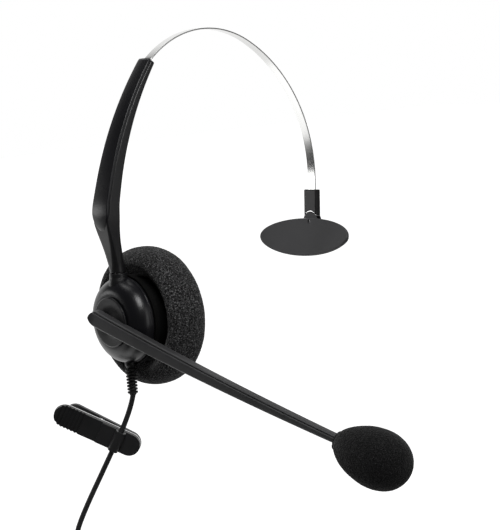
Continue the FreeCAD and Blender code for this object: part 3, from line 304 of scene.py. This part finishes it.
def smoothed(node):
    """The CAD node's own solid, shaded smooth apart from its sharp edges."""
    shape = bmesh.new()
    shape.from_mesh(NODES[node].data)
    bmesh.ops.remove_doubles(shape, verts=shape.verts, dist=2e-6)
    for edge in shape.edges:
        edge.smooth = len(edge.link_faces) == 2 and edge.calc_face_angle() < math.radians(SHARP)
    mesh = bpy.data.meshes.new(node + "_shape")
    shape.to_mesh(mesh)
    shape.free()
    for face in mesh.polygons:
        face.use_smooth = True
    obj = bpy.data.objects.new(node + "_piece", mesh)
    bpy.context.collection.objects.link(obj)
    weigh(obj)
    return dress(obj, SLOT_OF[node], [node])


def rounded(points, steps=5):
    """Outline whose corners given as (x, y, radius) are rounded off."""
    made = []
    for index, point in enumerate(points):
        if len(point) == 2 or not 0 < index < len(points) - 1:
            made.append(point[:2])
            continue
        corner = Vector(point[:2])
        back, ahead = Vector(points[index - 1][:2]) - corner, Vector(points[index + 1][:2]) - corner
        half = back.angle(ahead) / 2
        reach = min(point[2] / math.tan(half), back.length * 0.49, ahead.length * 0.49)
        radius = reach * math.tan(half)
        first, last = corner + back.normalized() * reach, corner + ahead.normalized() * reach
        centre = corner + (back.normalized() + ahead.normalized()).normalized() * (radius / math.sin(half))
        for step in range(steps + 1):
            way = (first - centre).lerp(last - centre, step / steps).normalized() * radius
            made.append(tuple(centre + way))
    return made


def lathe(name, outline, slot, nodes, place, segments):
    """Turned solid about its own X; the outline is (distance along X, radius)."""
    points, rings, faces = [], [], []
    for along, radius in outline:
        count = 1 if radius < 1e-6 else segments
        ring = []
        for step in range(count):
            turn = 2 * math.pi * step / segments
            ring.append(len(points))
            points.append(place @ Vector((along, radius * math.cos(turn), radius * math.sin(turn))))
        rings.append(ring)
    closed = len(rings[0]) > 1 and len(rings[-1]) > 1
    pairs = list(zip(rings, rings[1:])) + ([(rings[-1], rings[0])] if closed else [])
    for first, second in pairs:
        for step in range(segments):
            after = (step + 1) % segments
            if len(first) == 1 and len(second) == 1:
                break
            if len(first) == 1:
                faces.append((first[0], second[step], second[after]))
            elif len(second) == 1:
                faces.append((first[step], first[after], second[0]))
            else:
                faces.append((first[step], first[after], second[after], second[step]))
    return solid(name, points, faces, slot, nodes)


def loft(name, rings, slot, nodes):
    """Skin over closed rings of equal count, with flat ends."""
    points = [point for ring in rings for point in ring]
    count = len(rings[0])
    faces = []
    for row in range(len(rings) - 1):
        for step in range(count):
            after = (step + 1) % count
            faces.append((row * count + step, row * count + after,
                          (row + 1) * count + after, (row + 1) * count + step))
    faces.append(tuple(range(count)))
    faces.append(tuple((len(rings) - 1) * count + step for step in range(count)))
    return solid(name, points, faces, slot, nodes)


def smooth_line(values, knots, at):
    """Smooth run through the values given at the knots."""
    at = min(max(at, knots[0]), knots[-1])
    index = max(i for i in range(len(knots) - 1) if knots[i] <= at)
    span = knots[index + 1] - knots[index]
    share = (at - knots[index]) / span

    def slope(i):
        if i in (0, len(knots) - 1):
            near = (0, 1) if i == 0 else (i - 1, i)
            return (values[near[1]] - values[near[0]]) / (knots[near[1]] - knots[near[0]])
        return (values[i + 1] - values[i - 1]) / (knots[i + 1] - knots[i - 1])

    s2, s3 = share ** 2, share ** 3
    return ((2 * s3 - 3 * s2 + 1) * values[index] + (s3 - 2 * s2 + share) * span * slope(index)
            + (3 * s2 - 2 * s3) * values[index + 1] + (s3 - s2) * span * slope(index + 1))


def smoothstep(low, high, value):
    share = min(max((value - low) / (high - low), 0), 1)
    return share * share * (3 - 2 * share)


# ------------------------------------------------------------------ cord

CORD_WIDTH = 2.3
ROUTE = [(-22.8, 0.0, -32.5), (-23.5, 0.8, -36.6), (-26.0, 3.6, -45.0), (-26.72, 4.92, -47.52),
         (-32.0, 14.6, -66.0), (-37.2, 21.6, -81.0), (-41.4, 25.2, -92.5), (-42.6, 26.0, -104.4)]
TAIL = [(-40.3, 26.0, -121.6), (-40.1, 25.6, -127.2), (-39.3, 24.6, -132.6)]
COIL = Vector((-38.0, 42.45, -113.0))
OUTER_TURN = 16.5
# turns, radius at the start and end, distance along the coil's axis at the start and end
WINDING = [(3.0, OUTER_TURN, 9.6, -4.6, -4.6), (0.5, 9.6, 9.6, -4.6, -2.3), (3.0, 9.6, 9.6, -2.3, 4.6),
           (0.5, 9.6, 11.9, 4.6, 4.6), (3.0, 11.9, 11.9, 4.6, -2.3), (0.5, 11.9, 14.2, -2.3, -2.3),
           (3.0, 14.2, 14.2, -2.3, 4.6), (0.5, 14.2, 16.5, 4.6, 4.6), (3.0, 16.5, 16.5, 4.6, -2.3)]
TURN_POINTS = 16


def coil_points():
    """Turns side by side and over each other, entered and left on the front side going down."""
    loose = random.Random(7)
    points, angle = [], math.pi
    for turns, first, last, near, far in WINDING:
        count = round(turns * TURN_POINTS)
        for step in range(count):
            share = step / count
            radius = first + (last - first) * share + loose.uniform(-0.12, 0.12)
            reach = radius / math.cos(math.pi / TURN_POINTS)
            along = near + (far - near) * share + loose.uniform(-0.1, 0.1)
            points.append(COIL + Vector((along, reach * math.cos(angle), reach * math.sin(angle))))
            angle += 2 * math.pi / TURN_POINTS
    points.append(COIL + Vector((-2.3, -OUTER_TURN, 0)))
    return points


def make_cord():
    points = [Vector(point) for point in ROUTE] + coil_points() + [Vector(point) for point in TAIL]
    data = bpy.data.curves.new("cord_line", "CURVE")
    data.dimensions = "3D"
    spline = data.splines.new("NURBS")
    spline.points.add(len(points) - 1)
    for control, point in zip(spline.points, points):
        control.co = (*(point * MM), 1.0)
    spline.order_u = 3
    spline.use_endpoint_u = True
    spline.resolution_u = 4
    data.bevel_depth = CORD_WIDTH / 2 * MM
    data.bevel_resolution = 4
    data.use_fill_caps = True
    cord = bpy.data.objects.new("cord_run", data)
    bpy.context.collection.objects.link(cord)
    data.materials.append(MATERIALS["cord_jacket"])
    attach(cord, "earcup")
    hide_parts("cord", "cord_coil", "cord_tail")
    return cord


# ------------------------------------------------------------------ ear cup

OUTWARD = Matrix.Rotation(math.pi, 4, "Z")      # a depth measured from the ear becomes -X
CUSHION_ROUND, SCREEN_ROUND = 188, 76           # lengths round the two foam pieces


def pores(points, normals, pitch, depth, drift):
    """Foam skin: pits a pore apart, over a slow unevenness."""
    moved = []
    for point, normal in zip(points, normals):
        near = noise.voronoi(point / pitch)[0]
        pit = max(0.0, 1 - near[0] / 0.55)
        rough = noise.noise(point * 2.3) * 0.35
        slow = noise.noise(point * 0.11) * drift
        moved.append(point - normal * (depth * (pit + rough) - slow))
    return moved


def foam(name, outline, place, segments, node, pitch=0.75, depth=0.24, drift=0.35):
    """Turned foam piece with a porous skin; the outline runs evenly, about half a pore a step."""
    obj = lathe(name, outline, "foam", [node], place, segments)
    obj.modifiers.clear()
    mesh = obj.data
    points = [vertex.co / MM for vertex in mesh.vertices]
    normals = [vertex.normal.copy() for vertex in mesh.vertices]
    for vertex, point in zip(mesh.vertices, pores(points, normals, pitch, depth, drift)):
        vertex.co = point * MM
    return obj


def evenly(outline, step):
    """The outline again with points about a step apart."""
    made = [outline[0]]
    for first, last in zip(outline, outline[1:]):
        first, last = Vector(first), Vector(last)
        count = max(1, round((last - first).length / step))
        for index in range(1, count + 1):
            made.append(tuple(first.lerp(last, index / count)))
    return made


def make_cushion():
    """Round cushion: a flat ear face, a full rim and an open mouth round the capsule."""
    outline = [(0.2, 0), (0.2, 19.5)]
    for number in range(1, 40):
        turn = math.pi * number / 40
        outline.append((9.6 - 9.4 * math.cos(turn), 23.3 + 6.6 * math.sin(turn) ** 0.85))
    outline += rounded([(19.0, 23.6), (18.7, 23.1, 0.5), (15.3, 18.8, 0.3), (15.3, 21.3), (13.0, 21.3),
                        (13.0, 0)], 6)
    step = 0.42
    foam("ear_cushion_foam", evenly(outline, step), OUTWARD, round(CUSHION_ROUND / step), "ear_cushion",
         drift=0.12)


def make_dome():
    """Glossy dome with a seam at its foot, and the collar that the arm stands in."""
    profile = rounded([(22.3, 16.9), (22.3, 18.56, 0.25), (23.2, 18.56, 0.6), (23.25, 18.4)], 4)
    centre = (23.2, 11.16)
    for step in range(1, 41):
        turn = math.radians(90 * (1 - step / 40))
        profile.append((centre[0] + 7.4 * math.cos(turn), centre[1] + 7.3 * math.sin(turn)))
    profile += [(30.6, 10.0), (30.6, 4.1), (29.0, 4.1), (29.0, 10.5), (23.2, 16.9)]
    lathe("capsule_shell", profile, "gloss_black", ["capsule_dome"], OUTWARD, 160)
    seat = rounded([(12.6, 1.6), (12.6, 3.9), (15.2, 3.9), (15.2, 4.6), (17.4, 4.2, 1.5), (18.6, 3.9, 1.0),
                    (20.35, 3.9, 0.2), (20.35, 1.6)], 4)
    upright = Matrix.Translation(Vector((-25, 0, 0))) @ Matrix.Rotation(-math.pi / 2, 4, "Y")
    lathe("capsule_collar", seat, "satin_black", ["capsule_dome"], upright, 48)


def make_relief():
    """Sleeve that runs down from the capsule's seam, notched so that it bends."""
    top, bottom, count = -15.2, -32.5, 8
    profile = [(0, 1.15), (0, 2.4), (3.8, 2.4), (4.6, 2.3)]
    for number in range(count):
        start = 6.0 + number * 1.38
        rib, root = 2.4 - 0.02 * number, 1.45
        profile += [(start, root, 0.1), (start + 0.1, rib, 0.25), (start + 0.88, rib, 0.25),
                    (start + 0.98, root, 0.1)]
    profile += [(top - bottom - 0.3, 1.55, 0.1), (top - bottom, 1.4), (top - bottom, 1.15)]
    down = Matrix.Translation(Vector((-22.8, 0, top))) @ Matrix.Rotation(math.pi / 2, 4, "Y")
    lathe("strain_relief_sleeve", rounded(profile, 3), "rubber", ["strain_relief"], down, 48)


# ------------------------------------------------------------------ boom

BOOM = (Matrix.Translation(Vector((-34.8, 0, 0))) @ Matrix.Rotation(math.radians(21.6), 4, "X")
        @ Matrix.Rotation(math.radians(11.4), 4, "Z") @ Matrix.Rotation(math.radians(-90), 4, "Z")
        @ Matrix.Translation(Vector((-8, -2.0, -3.75))))
BOOM_LENGTH, BOOM_BEND, HUB_FACE, HUB_REACH = 142.0, 1035.0, -31.92, 11.0
BOOM_HALF, BOOM_THINS = 3.75, 1.9       # half its height at the root, and how much less at the end
BOOM_DEPTH, BOOM_TAPER, BOOM_CROWN = 5, 0.6, 1.7


def boom_edges(along):
    """Near and far side, foot and top of the boom at a distance along it."""
    share = along / BOOM_LENGTH
    sag = ((BOOM_LENGTH / 2) ** 2 - (along - BOOM_LENGTH / 2) ** 2) / (2 * BOOM_BEND)
    half = BOOM_HALF - BOOM_THINS * share
    if along < BOOM_HALF:
        half *= math.sqrt(max(0.0, 1 - (1 - along / BOOM_HALF) ** 2)) + 0.02
    narrow = BOOM_TAPER * share
    return narrow - sag, BOOM_DEPTH - narrow - sag, BOOM_HALF - half, BOOM_HALF + half


def boom_ring(along, low, high, inset, corner_low, corner_high):
    """Rounded section between two heights, given over the boom's foot at its root."""
    near, far, foot, top = boom_edges(along)
    drop = BOOM_THINS * along / BOOM_LENGTH
    bottom, ceiling = max(foot, low - drop), min(top, high - drop)
    if low <= 0:
        bottom = foot
    if ceiling < bottom + 0.05:
        ceiling = bottom + 0.05
    near, far = near + inset, far - inset
    ring = []
    tall, wide = ceiling - bottom, far - near
    for (y, z, radius, start) in ((far, ceiling, corner_high, 0), (near, ceiling, corner_high, 90),
                                  (near, bottom, corner_low, 180), (far, bottom, corner_low, 270)):
        radius = min(radius, tall * 0.49, wide * 0.49)
        cy = y + (radius if y == near else -radius)
        cz = z + (radius if z == bottom else -radius)
        for step in range(7):
            turn = math.radians(start + 90 * step / 6)
            y, z = cy + radius * math.cos(turn), cz + radius * math.sin(turn)
            fall = ((z - BOOM_HALF) / (BOOM_HALF - drop)) ** 2
            y += BOOM_CROWN * fall * (far - y) / wide
            point = BOOM @ Vector((along, y, z))
            if math.hypot(point.y, point.z) < HUB_REACH and point.x > HUB_FACE:
                point.x = HUB_FACE
            ring.append(point)
    return ring


def boom_steps(start=0.0):
    ends = [0.0, 0.06, 0.2, 0.45, 0.8, 1.2, 1.7, 2.3, 3.0, BOOM_HALF]
    return [x for x in ends if x >= start] + [BOOM_HALF + (BOOM_LENGTH - BOOM_HALF) * n / 90
                                              for n in range(1, 91)]


def make_boom():
    """Base and cap with a seam between them, kept dark by a near-black core as painted shade, and the disc
    they swing on.
    """
    loft("boom_base_shell", [boom_ring(x, 0, 6.5, 0.0, 1.3, 0.25) for x in boom_steps()], "matte_black",
         ["boom_base"])
    loft("boom_cap_shell", [boom_ring(x, 6.85, 9.0, 0.04, 0.2, 0.35) for x in boom_steps(1.0)], "matte_black",
         ["boom_cap"])
    core = loft("boom_seam_core", [boom_ring(x, 4.5, 7.0, 0.7, 0.1, 0.1) for x in boom_steps(3.0)],
                "copper", ["boom_wire"])
    # painted shade: the core is near-black so that the seam between base and cap reads as shade
    core.data.materials[0] = MATERIALS["painted_shade_black"]
    lathe("boom_hub_disc", rounded([(27.2, 2.4), (27.2, 4.0, 0.2), (30.75, 4.0), (30.75, 10.4, 0.2),
                                    (31.0, 10.7, 0.15), (31.6, 10.7, 0.25), (31.9, 10.3, 0.2),
                                    (31.9, 2.4)], 4), "satin_black", ["boom_hub"], OUTWARD, 128)


SCREEN_LENGTH, SCREEN_RADIUS, SCREEN_BORE, SCREEN_BACK = 35.0, 12.15, 3.95, 9.5
SCREEN_SKEW, SCREEN_TURN = 0.184, 4.1       # how far its fullest part is past the middle; degrees


def make_windscreen():
    """Egg-shaped foam over the boom's end, fuller towards its tip."""
    tip = BOOM @ Matrix.Translation(Vector((BOOM_LENGTH, BOOM_DEPTH / 2, BOOM_HALF)))
    turned = tip @ Matrix.Rotation(math.radians(SCREEN_TURN), 4, "Z")
    place = turned @ Matrix.Translation(Vector((-SCREEN_BACK, 0, 0)))
    outline = [(24.5, 0), (24.5, SCREEN_BORE), (6.0, SCREEN_BORE), (0.9, SCREEN_BORE)]
    for step in range(61):
        turn = math.radians(24 + 156 * step / 60)
        bulge = SCREEN_RADIUS * math.sin(turn) * (1 - SCREEN_SKEW * math.cos(turn)) / 1.0163
        outline.append((SCREEN_LENGTH / 2 * (1 - math.cos(turn)), max(0.0, bulge)))
    outline[-1] = (SCREEN_LENGTH, 0)
    step = 0.4
    screen = foam("windscreen_foam", evenly(outline, step), place, round(SCREEN_ROUND / step), "windscreen",
                  drift=0.15)
    screen.data.materials[0] = MATERIALS["fine_foam"]


# ------------------------------------------------------------------ arm

ARM_CENTRE = Vector((115.985, 0, 12.479))
ARM_BEND, COVER = 152.2, 1.25
ARM_LOW, ARM_HIGH = 167.66, 140.35       # directions of the elbow and of the tip from the arm's centre
# run along the arm, X, Z, thickness, width, corner and lean of the leg's sections below the elbow
LEG = [(0.0, -28.4, 20.7, 6.8, 6.8, 3.2, 0.0), (5.3, -28.7, 26.0, 5.9, 7.2, 2.4, 3.0),
       (13.5, -30.3, 34.0, 6.0, 8.4, 1.5, 8.0)]
ELBOW_RUN, BLADE_STEPS = 24.8, 8
BLADE_THICK, BLADE_WIDTH, BLADE_CORNER = (7.3, 3.4), (10.4, 7.8), 0.75     # at the elbow and at the tip
BLADE_LENGTH = math.radians(ARM_LOW - ARM_HIGH) * ARM_BEND
ARM_END = ELBOW_RUN + BLADE_LENGTH


def arm_section(run):
    """Outer point, outward direction, thickness, width and corner at a distance run along the arm."""
    rows = list(LEG)
    for number in range(BLADE_STEPS + 1):
        share = number / BLADE_STEPS
        way = ARM_LOW + (ARM_HIGH - ARM_LOW) * share
        turn = math.radians(way)
        rows.append((ELBOW_RUN + BLADE_LENGTH * share, ARM_CENTRE.x + ARM_BEND * math.cos(turn),
                     ARM_CENTRE.z + ARM_BEND * math.sin(turn),
                     BLADE_THICK[0] + (BLADE_THICK[1] - BLADE_THICK[0]) * share,
                     BLADE_WIDTH[0] + (BLADE_WIDTH[1] - BLADE_WIDTH[0]) * share, BLADE_CORNER, 180 - way))
    knots, *columns = zip(*rows)
    x, z, t, w, c, lean = (smooth_line(values, knots, run) for values in columns)
    lean = math.radians(lean)
    return Vector((x, 0, z)), Vector((-math.cos(lean), 0, math.sin(lean))), t, w, c


def arm_place(run):
    """The outer point, evened out so that the elbow is a bend and not a corner."""
    reach = max(0.0, min(5.0, run, ARM_END - run))
    spread = [arm_section(run + reach * share)[0] for share in (-1, -0.5, 0, 0.5, 1)]
    return sum(spread, Vector()) / 5


def arm_ring(run, high, low, squeeze, corner_out, corner_in, crown=0.0, steps=5):
    """Section from a depth `high` under the outer face to a depth `low`, narrowed by squeeze."""
    outer, across = arm_place(run), Vector((0, 1, 0))
    _, way, _, width, _ = arm_section(run)
    half = width / 2 * squeeze
    ring = []

    def put(y, d, top):
        if top and half > 0.1:
            d -= crown * (1 - (y / half) ** 2)
        ring.append(outer - way * d + across * y)

    limit = min((low - high) * 0.49, half * 0.98)
    for side, depth, radius, start in ((1, high, corner_out, 0), (-1, high, corner_out, 90),
                                       (-1, low, corner_in, 180), (1, low, corner_in, 270)):
        radius = min(radius, limit)
        cy = side * (half - radius)
        cd = depth + (radius if depth == high else -radius)
        for step in range(steps + 1):
            turn = math.radians(start + 90 * step / steps)
            put(cy + radius * math.cos(turn), cd - radius * math.sin(turn), depth == high)
        if (side, depth) in ((1, high), (-1, low)):
            for step in range(1, 6):
                put(cy * (1 - step / 3), depth, depth == high)
    return ring


def make_arm():
    """Frame with a recess for the cover, and the cover that tapers to a tongue at the elbow."""
    end = ARM_END
    tongue_foot, tongue = 18.6, 9.0
    runs = [0.0, 0.12, 0.3] + [0.3 + (end - 0.6) * n / 150 for n in range(1, 151)] + [end - 0.12, end]
    rings = []
    for run in runs:
        recess = COVER * smoothstep(tongue_foot + 3.0, tongue_foot + tongue, run)
        tip = 1 - 0.05 * max(0.0, 1 - abs(run - end) / 0.3)
        _, _, thick, _, corner = arm_section(run)
        rings.append(arm_ring(run, recess, thick, tip, corner, corner * 1.15))
    loft("arm_frame_shell", rings, "satin_black", ["arm_frame"])
    rings = []
    count = 120
    for number in range(count + 1):
        share = number / count
        run = tongue_foot + 0.02 + (end - tongue_foot - 0.02) * (share ** 1.35)
        round_off = min(1.0, (run - tongue_foot) / tongue)
        squeeze = math.sqrt(max(0.0, 1 - (1 - round_off) ** 2)) * 0.995
        proud = 0.16 * smoothstep(tongue_foot, tongue_foot + 1.5, run)
        depth = 0.1 + (COVER - 0.3) * smoothstep(tongue_foot, tongue_foot + 3, run)
        tip = 1 - 0.06 * max(0.0, 1 - abs(run - end) / 0.4)
        rings.append(arm_ring(run, -proud, depth + 0.05, squeeze * tip, 0.34, 0.1, crown=0.25))
    loft("arm_cover_shell", rings, "gloss_black", ["arm_cover"])


def make_arm_screws():
    """Two screws sunk in the arm's inner side."""
    for number, turn in enumerate((164.0, 154.0)):
        turn = math.radians(turn)
        way = Vector((math.cos(turn), 0, math.sin(turn)))
        share = (ARM_LOW - math.degrees(turn)) / (ARM_LOW - ARM_HIGH)
        depth = BLADE_THICK[0] + (BLADE_THICK[1] - BLADE_THICK[0]) * share - 0.05
        where = ARM_CENTRE + way * (ARM_BEND - depth)
        place = Matrix.Translation(where) @ way.to_track_quat("-X", "Z").to_matrix().to_4x4()
        outline = rounded([(-0.6, 0), (-0.6, 1.4), (0.1, 1.4, 0.15), (0.22, 0.5), (-0.3, 0.32), (-0.3, 0)], 3)
        lathe(f"arm_screw_{number}", outline, "dark_steel", ["arm_screws"], place, 32)


# ------------------------------------------------------------------ headband and pad

BAND_TUCK = 5.0


def band_line():
    """Middle line of the strip in the XZ plane with the direction out of the head at each point."""
    radius = ARM_BEND - 1.2 - 0.6
    inside = math.degrees(26.0 / radius)
    line, centre, end = [], ARM_CENTRE.copy(), None
    for radius, first, last in ((radius, ARM_HIGH + inside, ARM_HIGH), (12.0, ARM_HIGH, 128.0),
                                (47.0, 128.0, 58.4), (70.0, 58.4, -BAND_TUCK)):
        def way(angle):
            return Vector((math.cos(math.radians(angle)), 0, math.sin(math.radians(angle))))
        if end is not None:
            centre = end - way(first) * radius
        count = max(3, round(abs(first - last) / 1.2))
        for step in range(count):
            angle = first + (last - first) * step / count
            line.append((centre + way(angle) * radius, way(angle)))
        end = centre + way(last) * radius
    onward = Vector((-math.sin(math.radians(BAND_TUCK)), 0, -math.cos(math.radians(BAND_TUCK))))
    for step in range(13):
        line.append((end + onward * ((end.z - 26.6) * step / 12), way(-BAND_TUCK)))
    return line


def make_band():
    """Spring strip with rounded edges along its line."""
    half, thin, edge = 2.5, 0.3, 0.24       # half its width, half its thickness, radius of its edges
    rings = []
    for point, way in band_line():
        ring = []
        for side, face, start in ((1, 1, 0), (-1, 1, 90), (-1, -1, 180), (1, -1, 270)):
            for step in range(4):
                turn = math.radians(start + 90 * step / 3)
                ring.append(point + Vector((0, side * (half - edge) + edge * math.cos(turn), 0))
                            + way * (face * (thin - edge) + edge * math.sin(turn)))
        rings.append(ring)
    loft("headband_strip", rings, "steel", ["headband"])


# ------------------------------------------------------------------ build

make_camera()
cord = make_cord()
make_studio()
make_cushion()
make_dome()
make_relief()
make_boom()
make_windscreen()
make_arm()
make_arm_screws()
make_band()
for node in ("pad_face", "pad_neck", "plug_boot", "plug_grip", "coil_tie", "cord_holder", "clip_liner",
             "clip_back_jaw", "clip_front_jaw", "band_sleeve"):
    piece = smoothed(node)
    if BODY_OF[node] in ("clip", "clip_lever") and SLOT_OF[node] == "satin_black":
        piece.data.materials[0] = MATERIALS["clip_black"]
for node, obj in NODES.items():
    for slot in obj.material_slots:
        # the speaker plate gets painted shade: near-black for the shade deep in the cushion's mouth
        slot.material = MATERIALS["painted_shade_black" if node == "speaker_plate" else SLOT_OF[node]]
